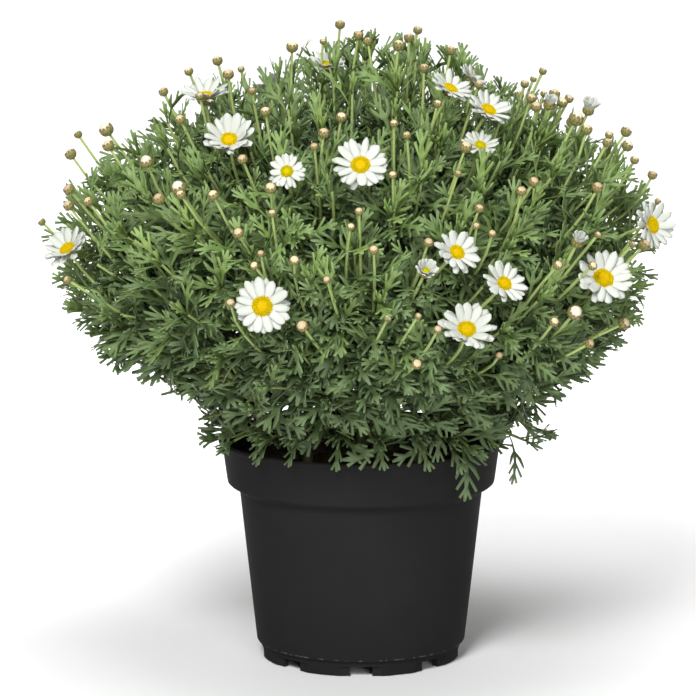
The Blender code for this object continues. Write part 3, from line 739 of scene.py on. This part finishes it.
def makeBract(name, start, span):  # a scale that follows a ball of radius 1 from one angle up
    bract = begin(bpy.ops.mesh.primitive_plane_add, size=1)

    def spot(share):
        angle = math.radians(start + span * share)
        away = 1.03 + 0.06 * share
        return Vector((0, math.sin(angle) * away, -math.cos(angle) * away))

    wide = budShape["bractWide"]
    first, second, third, last = (spot(s) for s in (0, 0.4, 0.75, 1))
    shape = bmesh.from_edit_mesh(bract.data)
    shape.verts.ensure_lookup_table()
    for index, point, side in ((0, first, -0.4), (1, first, 0.4), (2, second, -0.5), (3, second, 0.5)):
        shape.verts[index].co = point + Vector((side * wide, 0, 0))
    bmesh.update_edit_mesh(bract.data)
    front = pushEdge(bract, (2, 3), third - second, scale=0.92)
    pushEdge(bract, front, last - third, scale=0.4)
    leaveEdit()
    applyModifier(bract, "SOLIDIFY", thickness=budShape["bractThick"], offset=0)
    smooth(bract)
    points = np.array([v.co for v in bract.data.vertices])
    angles = np.degrees(np.arctan2(points[:, 1], -points[:, 2]))
    dress(bract, bractSkin, np.clip((angles - start) / span, 0, 1))
    keepTemplate(name, bract)


for row, (_, start, span) in enumerate(budShape["rows"]):
    makeBract(f"bract{row}", start, span)


def dressedWithBracts(name, body, tone):  # the body joined with its rows of bracts
    parts = [body]
    for row, (count, _, _) in enumerate(budShape["rows"]):
        for k in range(count):
            turned = Matrix.Rotation(math.tau * (k + row / 2) / count, 4, "Z")
            parts.append(copyOf(f"bract{row}", turned, tone))
    return joinAll(name, parts)


def makeBud(name, size, flat, tone):
    bud = begin(bpy.ops.mesh.primitive_uv_sphere_add, segments=10, ring_count=7, radius=1)
    pick(bud, lambda v: v.co.z > 0.3)
    bpy.ops.transform.resize(value=(1, 1, flat), center_override=(0, 0, 0.3))
    leaveEdit()
    smooth(bud)
    dress(bud, budCream, [min(1, max(0, v.co.z + 0.4)) for v in bud.data.vertices])
    bud = dressedWithBracts(name, bud, tone)
    radius = budShape["radius"] * size
    bud.data.transform(Matrix.Translation((0, 0, radius * 0.85)) @ Matrix.Scale(radius, 4))
    keepTemplate(name, bud)


budKinds = {  # size, flatness of the top and tone
    "creamBud": (1.0, 0.8, 0.7), "greenBud": (0.8, 0.62, 0.3),
    "swollenBud": (1.16, 0.95, 1.0), "whiteBud": (1.4, 1.15, 1.0),
}
for kind, (size, flat, tone) in budKinds.items():
    makeBud(kind, size, flat, tone)


def makeCup():  # the green cup under an open bloom
    cup = begin(bpy.ops.mesh.primitive_uv_sphere_add, segments=14, ring_count=8, radius=1)
    cutOff(cup, lambda v: v.co.z > 0.05)
    leaveEdit()
    smooth(cup, 60)
    dress(cup, bractSkin, 0.2)
    cup = dressedWithBracts("cup", cup, 0.5)
    cup.data.transform(Matrix.Diagonal(budShape["cup"]))
    keepTemplate("cup", cup)


makeCup()
print("shapes ready:", {name: len(mesh.polygons) for name, (mesh, _) in templates.items()})


# plan of the plant: stems fan out from the soil, every shoot ends on the dome

plant = {
    "fan": Vector((0, 0, 150)) * mm, "reach": 108 * mm, "rootHigh": 118 * mm, "soilHigh": 24 * mm,
    "crown": (5, 62, 20 * mm), "outer": (7, 22, 46 * mm),  # stems, slope in degrees, circle they stand on
    "stemRadius": 3.9 * mm, "shootRadius": 1.75 * mm, "stalkRadius": 0.9 * mm, "taper": 0.55,
    "middle": 278 * mm, "rise": 152 * mm, "drop": 140 * mm, "depth": 210 * mm,  # the dome
    "leafyTips": 236, "tipReach": 0.9, "backBuds": 46, "cupDeep": 4 * mm, "stalkBare": 38 * mm, "seed": 11,
    "skirts": ((44, 52, 104, 156, 176), (34, 60, 140, 178, 204)),  # shoots, near, far, low, high in mm
    "hanging": (  # ends of the shoots at the rim in mm
        (118, -22, 160), (108, -52, 158), (90, -82, 160), (70, -94, 162), (-134, -28, 184), (-108, -54, 172),
        (-84, -76, 162), (104, 60, 160), (-96, 66, 162), (-62, -72, 170), (-40, -84, 168), (-14, -90, 170),
        (10, -90, 168), (34, -86, 170), (-78, -42, 168), (-76, -10, 168), (58, -66, 168), (-66, 32, 170),
    ),
    "outline": (  # height, left and right edge of the leaves in mm
        (134, -92, 116), (150, -98, 122), (168, -108, 126), (178, -122, 134), (187, -152, 146),
        (196, -172, 162), (216, -184, 182), (237, -198, 188), (262, -212, 194), (285, -216, 204),
        (312, -203, 200), (338, -178, 181), (352, -154, 168), (370, -136, 146), (383, -115, 122),
        (394, -96, 102), (406, -66, 84), (417, -36, 68), (427, 4, 42),
    ),
}

blooms = (  # centre in mm, width in mm, turn from the front, lift and funnel in degrees
    (-84, -140, 367, 41, -5, 48, 44), (-47, -170, 352, 25, -3, 28, 12), (-1, -176, 356, 39, 0, 36, 20),
    (56, -110, 397, 31, 46, 55, 28), (80, -118, 384, 34, 40, 50, 28), (58, -194, 304, 33, 28, 30, 26),
    (88, -186, 283, 33, 28, 36, 26), (65, -196, 255, 42, 8, 44, 34), (-62, -198, 271, 40, -4, 20, 10),
    (-191, -75, 288, 38, -38, 50, 34), (188, -75, 305, 37, 46, 15, 30), (153, -141, 279, 43, 15, 38, 24),
    (-101, -85, 389, 36, -18, 72, 30), (-23, -57, 407, 27, 8, 70, 30), (71, -65, 399, 26, 78, 42, 30),
    (75, -131, 363, 26, 20, 54, 30), (-60, 135, 372, 36, -155, 50, 10), (62, 168, 340, 38, 165, 35, 14),
    (-150, 120, 300, 38, -130, 30, 12), (165, 110, 265, 36, 125, 22, 18), (-40, 196, 262, 38, -170, 25, 14),
)
overgrown = (13, 15)  # blooms that leaves may stand in front of, counted from 0

opening = (  # half open blooms, given in the same way
    (39, -206, 294, 22, 18, 40, 62), (136, -158, 306, 19, 35, 55, 74), (148, -62, 379, 22, 38, 62, 70),
    (121, -92, 386, 17, 30, 60, 76),
)

whiteBuds = (
    (-137, -128, 353), (-115, -158, 340), (134, -167, 262), (138, -92, 376), (174, -57, 355),
    (-166, -64, 366),
)

frontBuds = (  # centres in mm
    (-14, -25, 432), (-25, -63, 425), (-45, -71, 421), (-78, -84, 409), (-86, -87, 405), (-94, -56, 411),
    (-113, -53, 404), (-129, -67, 392), (-61, -140, 387), (-104, -101, 393), (-116, -115, 379),
    (-190, 4, 356), (-164, -82, 358), (-193, -20, 345), (-114, -162, 337), (-128, -155, 333),
    (-191, -70, 328), (-191, -74, 318), (-176, -105, 325), (-214, -12, 299), (-75, -166, 360),
    (-57, -186, 344), (-56, -194, 330), (-24, -165, 376), (-30, -172, 369), (-13, -154, 385),
    (-93, -174, 338), (-77, -193, 317), (-67, -202, 298), (-63, -202, 306), (-42, -208, 302),
    (-22, -213, 291), (-37, -210, 261), (-191, -98, 273), (-82, -199, 274), (-70, -116, 398), (4, -68, 425),
    (-2, -60, 428), (31, -54, 426), (37, -42, 430), (24, -72, 422), (58, -69, 419), (40, -103, 411),
    (75, -107, 401), (48, -137, 392), (20, -160, 382), (28, -163, 375), (65, -164, 367), (60, -178, 353),
    (108, -161, 345), (100, -168, 340), (150, -130, 337), (73, -188, 332), (71, -193, 322), (81, -192, 317),
    (41, -205, 313), (7, -210, 309), (-2, -201, 332), (-7, -205, 323), (19, -187, 353), (112, -68, 401),
    (119, -49, 404), (106, -73, 398), (118, -83, 393), (125, -76, 391), (130, -79, 386), (135, -71, 388),
    (109, -98, 391), (112, -103, 386), (145, -94, 370), (161, -76, 365), (159, -87, 361), (174, -45, 363),
    (178, -72, 348), (191, -56, 336), (194, -70, 321), (150, -148, 310), (123, -175, 294), (167, -135, 284),
    (146, -157, 291), (182, -110, 297), (174, -122, 300), (168, -128, 249), (121, -175, 258),
    (145, -150, 240), (35, -211, 268), (47, -209, 259), (16, -214, 267), (86, -188, 239), (34, -203, 236),
)


heights, lefts, rights = (np.array(row) * mm for row in zip(*plant["outline"]))


def outlineAt(high):  # middle and radius of the leafy dome at a height
    left, right = np.interp(high, heights, lefts), np.interp(high, heights, rights)
    return (left + right) / 2, (right - left) / 2


def depthAt(high):  # how far the dome reaches to the front and the back
    share = (high - plant["middle"]) / np.where(high > plant["middle"], plant["rise"], plant["drop"])
    return np.maximum(outlineAt(high)[1], plant["depth"] * np.sqrt(np.maximum(0, 1 - share**2)))


def domePoint(heading, rise, reach):
    high = plant["middle"] + (plant["rise"] if rise > 0 else plant["drop"]) * rise
    across, deep = math.cos(heading) * depthAt(high) * reach, math.sin(heading) * depthAt(high) * reach
    middle, radius = outlineAt(high + deep * lookDown)
    across = min(max(across, middle - radius * reach), middle + radius * reach)
    top = plant["middle"] + (high - plant["middle"]) * reach
    return Vector((across, deep, min(top, heights[-1] - deep * lookDown)))


def outwardAt(point):  # away from the middle of the dome, which is flatter than a ball
    offset = point - Vector((0, 0, plant["middle"]))
    offset.z *= 1.9
    return offset.normalized()


def facing(turn, lift):  # in degrees, from the front and upwards
    turn, lift = math.radians(turn), math.radians(lift)
    return Vector((math.sin(turn) * math.cos(lift), -math.cos(turn) * math.cos(lift), math.sin(lift)))


def bezier(a, b, c, d, t):
    s = 1 - t
    return a * s**3 + b * (3 * s * s * t) + c * (3 * s * t * t) + d * t**3


clearRules = {"near": 0.12, "behind": 4 * mm, "ahead": 60 * mm, "share": 0.98}
clearings = [
    (Vector(row[:3]) * mm, facing(row[4], row[5]), row[3] * mm / 2)
    for k, row in enumerate(blooms + opening) if k not in overgrown
]


def clearOfBlooms(points):  # nothing stands in front of a bloom, seen along its axis or from the front
    for centre, axis, radius in clearings:
        offset = points - np.array(centre)
        if np.abs(offset[0]).max() > clearRules["near"]:
            continue
        for aim in (axis, Vector((0, -1, lookDown)).normalized() if centre.y < 0 else axis):
            front = offset @ np.array(aim)
            away = np.linalg.norm(offset - front[:, None] * np.array(aim), axis=1)
            ahead = (front > -clearRules["behind"]) & (front < clearRules["ahead"])
            if (ahead & (away < radius * clearRules["share"])).any():
                return False
    return True


def endAt(kind, point, axis, bare=0, **more):
    return {"kind": kind, "point": point, "axis": axis, "bare": bare, **more}


def planEnds():
    rng = random.Random(plant["seed"])
    ends = []
    for x, y, z, width, turn, lift, _ in blooms + opening:
        axis = facing(turn, lift)
        point = Vector((x, y, z)) * mm - axis * plant["cupDeep"]
        ends.append(endAt("bloom", point, axis, plant["stalkBare"], size=max(0.68, width / 38)))
    buds = [Vector(spot) * mm for spot in frontBuds + whiteBuds]
    whites = buds[len(frontBuds):]
    for k in range(plant["backBuds"]):
        heading = math.pi * (0.1 + 0.8 * ((k * 0.618) % 1))
        rise = -0.35 + 0.98 * (k + 0.5) / plant["backBuds"]
        buds.append(domePoint(heading, rise, rng.uniform(0.95, 1.02)))
    for point in buds:
        stray = Vector((rng.uniform(-1, 1), rng.uniform(-1, 1), 0)) * 0.25
        axis = (outwardAt(point) * 0.8 + up * 0.7 + stray).normalized()
        spot = point - axis * budShape["radius"] * 0.9  # the given place is the bud's middle
        ends.append(endAt("bud", spot, axis, rng.uniform(20, 46) * mm, white=point in whites))
    for k in range(plant["leafyTips"]):
        rise = -0.7 + 1.69 * (k + 0.5) / plant["leafyTips"]
        point = domePoint(k * golden, rise, plant["tipReach"] * rng.uniform(0.93, 1.04))
        axis = (outwardAt(point) + up * rng.uniform(0.3, 0.9)).normalized()
        if clearOfBlooms(np.array([point])):
            ends.append(endAt("leaf", point, axis))
    for count, near, far, low, high in plant["skirts"]:
        for k in range(count):
            turn = math.tau * (k + rng.uniform(-0.3, 0.3)) / count
            flat = onCircle(turn)
            point = flat * rng.uniform(near, far) * mm + up * rng.uniform(low, high) * mm
            axis = (flat + up * rng.uniform(-0.3, 0.35)).normalized()
            ends.append(endAt("skirt", point, axis))
    for spot in plant["hanging"]:
        point = Vector(spot) * mm
        axis = (Vector((point.x, point.y, 0)).normalized() - up * 0.3).normalized()
        ends.append(endAt("skirt", point, axis))
    return ends


def planStems(ends):
    stems = []
    for count, slope, circle in (plant["crown"], plant["outer"]):
        for k in range(count):
            turn = math.tau * (k + 0.25) / count
            flat = onCircle(turn)
            heading = flat * math.cos(math.radians(slope)) + up * math.sin(math.radians(slope))
            stems.append({"heading": heading, "root": flat * circle + up * plant["rootHigh"], "ends": []})
    for end in ends:
        toward = (end["point"] - plant["fan"]).normalized()
        max(stems, key=lambda stem: stem["heading"].dot(toward))["ends"].append(end)
    return stems


stems = planStems(planEnds())


# stems as bevelled curves, leaves and buds as copies along them

leafRules = {
    "spacing": 7.4 * mm, "leafyLength": 92 * mm, "innermost": 0.42, "tuft": 5,
    "low": ("broad", "forked", "curled", "broad", "long"),
    "high": ("long", "narrow", "strap", "forked", "narrow"),
    "lowest": 143 * mm, "hangingLow": 124 * mm, "hanging": 0.1, "hangingFrom": 92 * mm,
    "hangingRight": 40 * mm,
    "top": 436 * mm, "seenTop": 434 * mm, "loose": 1.01, "looseDeep": 1.05,  # shares of the dome
    "rimHigh": 168 * mm, "looseAtRim": 1.22, "lipHigh": 152 * mm, "wall": (60 * mm, 98.5 * mm),
    # painted shade: how dark, and from what height, the low leaves are coloured
    "darkest": 0.15, "darkHigh": 165 * mm, "darkFade": 125 * mm,
}


def addSpline(curve, points, radii):
    spline = curve.splines.new("POLY")
    spline.points.add(len(points) - 1)
    for spot, point, radius in zip(spline.points, points, radii):
        spot.co = (*point, 1)
        spot.radius = radius / mm


def alongPath(points, distance):  # place and direction at a distance from the start
    for a, b in zip(points, points[1:]):
        step = (b - a).length
        if distance <= step:
            return a.lerp(b, distance / step), (b - a).normalized()
        distance -= step
    return points[-1], (points[-1] - points[-2]).normalized()


def pathLength(points):
    return sum((b - a).length for a, b in zip(points, points[1:]))


corners = {name: np.array([v.co for v in templates[name][0].vertices]) for name in leafKinds}


def fits(place, name, lowest):  # inside the dome, clear of the pot's wall, the soil and the blooms
    turned = np.array(place)
    points = corners[name] @ turned[:3, :3].T + turned[:3, 3]
    high, far = points[:, 2], np.hypot(points[:, 0], points[:, 1])
    seen = high + points[:, 1] * lookDown
    if high.min() < lowest or seen.max() > leafRules["seenTop"] or high.max() > leafRules["top"]:
        return False
    loose = leafRules["loose" if high.max() > leafRules["rimHigh"] else "looseAtRim"]
    middle, radius = outlineAt(seen)
    if (np.abs(points[:, 0] - middle) > radius * loose).any():
        return False
    if (far > depthAt(high) * max(loose, leafRules["looseDeep"])).any():
        return False
    inner, outer = leafRules["wall"]
    if ((high < leafRules["lipHigh"]) & (far > inner) & (far < outer)).any():
        return False
    return clearOfBlooms(points)


def lowestLeaf(point):  # leaves hang over the rim on the right, as in the photo
    outside = math.hypot(point.x, point.y) > leafRules["hangingFrom"]
    return leafRules["hangingLow" if outside and point.x > leafRules["hangingRight"] else "lowest"]


def paintedLightAt(point):  # leaves low in the plant are coloured darker and less young: partly older leaves, partly painted shade for light that falls from above
    return min(1, max(leafRules["darkest"], (point.z - leafRules["darkHigh"]) / leafRules["darkFade"]))


def leaning(point, along, turn, lean):  # the place of a leaf that leans away from its shoot
    away = Matrix.Rotation(turn, 3, along) @ along.orthogonal().normalized()
    aim = along * math.cos(lean) + away * math.sin(lean)
    return frameAlong(point, aim, along * math.sin(lean) - away * math.cos(lean))


def leavesOn(path, end, rng):
    total = pathLength(path)
    leafy = total - end["bare"]
    low = max(total * leafRules["innermost"], leafy - leafRules["leafyLength"])
    leaves, distance = [], low
    turn = rng.uniform(0, math.tau)
    while distance < leafy:
        point, along = alongPath(path, distance)
        share = (distance - low) / max(leafy - low, 1e-6)
        lean = math.radians(rng.uniform(32, 56) - 20 * share) + (0.2 if end["kind"] == "skirt" else 0)
        size = rng.uniform(0.8, 1.04) * (1 - 0.36 * share)
        upper = rng.uniform(0.3, 0.36) < point.z
        kind = rng.choice(leafRules["high" if upper else "low"])
        lowest = lowestLeaf(point) if rng.random() > leafRules["hanging"] else leafRules["hangingLow"]
        # painted shade: leaves low in the plant get a darker tone and less young colour
        light = paintedLightAt(point)
        young = max(0.0, share - 0.55) * rng.uniform(0.2, 1.0) * light
        roll = Matrix.Rotation(rng.uniform(-0.5, 0.5), 4, "Z")
        place = leaning(point, along, turn, lean) @ roll @ Matrix.Scale(size, 4)
        if fits(place, kind, lowest):
            leaves.append(copyOf(kind, place, rng.uniform(0, 1) * (0.4 + 0.6 * share) * light, min(young, 1)))
        distance += leafRules["spacing"] * rng.uniform(0.75, 1.25) * (1.25 - 0.5 * share)
        turn += golden
    if end["kind"] in ("leaf", "skirt"):
        point, along = path[-1], (path[-1] - path[-2]).normalized()
        # painted shade: the tuft at a low shoot end gets a darker tone too
        light = paintedLightAt(point)
        for k in range(leafRules["tuft"]):
            kind = "sprout" if k < 3 else "tip"
            lean = math.radians(8 + 7 * k)
            place = leaning(point, along, k * golden, lean) @ Matrix.Scale(rng.uniform(0.8, 1.15), 4)
            if fits(place, kind, lowestLeaf(point)):
                leaves.append(copyOf(kind, place, rng.uniform(0.3, 1) * light, rng.uniform(0.1, 0.6) * light))
    return leaves


def growStem(number, stem):
    rng = random.Random(number)
    node = f"leafy_stem_{number + 1:02d}"
    curve = bpy.data.curves.new("stalks", "CURVE")
    curve.dimensions = "3D"
    curve.bevel_depth = mm
    curve.bevel_resolution = 1
    curve.use_fill_caps = True
    heading, root = stem["heading"], stem["root"]
    ground = root + up * plant["soilHigh"]
    tip = plant["fan"] + heading * plant["reach"]
    lower, upper = ground + up * 20 * mm, tip - heading * 24 * mm
    trunk = [root] + [bezier(ground, lower, upper, tip, t / 12) for t in range(13)]
    addSpline(curve, trunk, [plant["stemRadius"] * (1 - plant["taper"] * k / 13) for k in range(14)])
    leaves, buds, cups = [], [], []
    for end in stem["ends"]:
        low = 0.25 if end["kind"] == "skirt" else 0.42
        share = min(0.99, low + 0.5 * rng.random())
        start, lead = alongPath(trunk[1:], share * pathLength(trunk[1:]))
        point, axis = end["point"], end["axis"]
        span = (point - start).length
        first = start + (lead + (point - start).normalized()).normalized() * span * 0.3
        last = point - axis * span * 0.34
        path = [bezier(start, first, last, point, t / 11) for t in range(12)]
        wide = plant["shootRadius"] * rng.uniform(0.85, 1.1)
        thin = plant["stalkRadius"] * (1.15 if end["kind"] == "bloom" else 1)
        addSpline(curve, path, [wide + (thin - wide) * (k / 11) ** 0.8 for k in range(12)])
        leaves += leavesOn(path, end, rng)
        if end["kind"] == "bud":
            kinds = ("creamBud", "creamBud", "greenBud", "swollenBud")
            kind = "whiteBud" if end["white"] else rng.choice(kinds)
            place = standing(point, axis) @ Matrix.Scale(rng.uniform(0.85, 1.1), 4)
            place = place @ Matrix.Rotation(rng.uniform(0, 6), 4, "Z")
            buds.append(copyOf(kind, place, rng.uniform(0, 1), 0.9 if end["white"] else 0))
        elif end["kind"] == "bloom":
            place = standing(point + axis * plant["cupDeep"], axis) @ Matrix.Scale(end["size"], 4)
            cups.append(copyOf("cup", place, 0.5))
    stalks = bpy.data.objects.new("stalks", curve)
    link(stalks)
    activate(stalks)
    bpy.ops.object.convert(target="MESH")
    stalks = bpy.context.view_layer.objects.active
    stalks.data.materials.append(stemSkin)
    stalks.name = f"{node}_stalks"
    smooth(stalks)
    finishPiece(stalks, "foliage", node)
    finishPiece(joinAll(f"{node}_leaves", leaves), "foliage", node)
    if buds + cups:
        finishPiece(joinAll(f"{node}_buds", buds + cups), "foliage", node)
    print(node, len(stem["ends"]), "shoots", len(leaves), "leaves", len(buds), "buds")


for number, stem in enumerate(stems):
    growStem(number, stem)


# blooms: two layers of petals and a disc of florets

bloomRules = {
    "petals": 11, "full": 38 * mm, "plate": 4.2 * mm, "discHigh": 1.4 * mm,
    "tilts": (-3, 6),  # degrees, by layer
    "mix": ("flat", "flat", "arched", "slim", "raised"), "greenBelow": 30, "greenOver": 8,  # width in mm
}


def makeBloom(name, centre, width, turn, lift, funnel, nodes=()):
    rng = random.Random(name)
    size = width * mm / bloomRules["full"]
    place = standing(centre, facing(turn, lift)) @ Matrix.Rotation(rng.uniform(0, 1), 4, "Z")
    parts = []
    for layer in (0, 1):
        for k in range(bloomRules["petals"]):
            turned = math.tau * (k + 0.5 * layer + rng.uniform(-0.14, 0.14)) / bloomRules["petals"]
            tilt = math.radians(bloomRules["tilts"][layer] + rng.uniform(-7, 8) + funnel)
            kind = rng.choice(bloomRules["mix"])
            local = (
                Matrix.Rotation(turned, 4, "Z")
                @ Matrix.Translation((0, bloomRules["plate"] * 0.8, (0.6 + layer) * mm))
                @ Matrix.Rotation(tilt, 4, "X") @ Matrix.Rotation(math.radians(rng.uniform(-8, 8)), 4, "Y")
                @ Matrix.Diagonal((rng.uniform(0.9, 1.1), rng.uniform(0.86, 1.05), 1, 1))
            )
            parts.append(copyOf(kind, place @ Matrix.Scale(size, 4) @ local, rng.uniform(0, 1)))
    finishPiece(joinAll(f"{name}_petals", parts), "ray", *nodes[:1])
    green = min(1, max(0, (bloomRules["greenBelow"] - width) / bloomRules["greenOver"])) * 0.6
    place = place @ Matrix.Translation((0, 0, bloomRules["discHigh"] * size)) @ Matrix.Scale(size, 4)
    finishPiece(joinAll(f"{name}_florets", [copyOf("disc", place, None, green)]), "disc", *nodes[1:])


for number, row in enumerate(blooms):
    name = f"bloom_{number + 1:02d}"
    makeBloom(name, Vector(row[:3]) * mm, *row[3:], nodes=(f"{name}_rays", f"{name}_disc"))
for number, row in enumerate(opening):
    makeBloom(f"opening_bloom_{number + 1}", Vector(row[:3]) * mm, *row[3:])
print("blooms done")


# floor, light and camera

studio = {
    "sweep": ((0, 0.5, 0.12), (0, 0.4, 0.4), (0, 0.12, 0.6), (0, 0, 5)),  # the floor curves up at the back
    "target": Vector((-8.8, 0, 211)) * mm, "distance": 2.6, "elevation": 9.8, "lens": 199,
    "floor": (248, 248, 248), "sky": 0.05,
    "lamps": (  # name, place, where it looks, size, power
        ("key", (-0.7, -2.6, 2.2), (0, 0, 0.25), 1.0, 103), ("fill", (0.8, -3.0, 0.9), (0, 0, 0.25), 1.2, 33),
        ("top", (0.1, -0.2, 2.4), (0, 0, 0.2), 1.4, 30), ("backdrop", (0, 1.4, 2.2), (0, 3.5, 0.9), 3.0, 110),
    ),
}


def makeStudio():
    floor = begin(bpy.ops.mesh.primitive_plane_add, (0, 0, -0.0005), size=1)
    bpy.ops.transform.resize(value=(16, 10, 1))
    bpy.ops.transform.translate(value=(0, -1.5, 0))
    pick(floor, lambda e: all(v.co.y > 1 for v in e.verts), "edges")
    for move in studio["sweep"]:
        pushOut(move)
    leaveEdit()
    settle(floor)
    floor.name = "studio_floor"
    paper, _, shader = newMaterial("paper", 0.9, Specular_IOR_Level=0.1)
    shader.inputs["Base Color"].default_value = rgb(studio["floor"])
    floor.data.materials.append(paper)
    smooth(floor)
    floor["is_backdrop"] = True
    for name, place, aim, size, power in studio["lamps"]:
        lamp = bpy.data.lights.new(name, "AREA")
        lamp.energy, lamp.size = power, size
        lamp = bpy.data.objects.new(name, lamp)
        lamp.location = place
        lamp.rotation_euler = (Vector(aim) - Vector(place)).to_track_quat("-Z", "Y").to_euler()
        link(lamp)
    world = bpy.data.worlds.new("studio")
    world.use_nodes = True
    world.node_tree.nodes["Background"].inputs["Color"].default_value = (1, 1, 1, 1)
    world.node_tree.nodes["Background"].inputs["Strength"].default_value = studio["sky"]
    bpy.context.scene.world = world
    bpy.context.scene.view_settings.view_transform = "Standard"
    lift = math.radians(studio["elevation"])
    camera = bpy.data.objects.new("camera", bpy.data.cameras.new("camera"))
    away = Vector((0, -math.cos(lift), math.sin(lift))) * studio["distance"]
    camera.location = studio["target"] + away
    camera.rotation_euler = (-away).to_track_quat("-Z", "Y").to_euler()
    camera.data.lens = studio["lens"]
    link(camera)
    bpy.context.scene.camera = camera


makeStudio()

counts = {thing.name: sum(len(p.vertices) - 2 for p in thing.data.polygons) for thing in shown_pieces()}
print("triangles", sum(counts.values()), "largest", max(counts.values()))
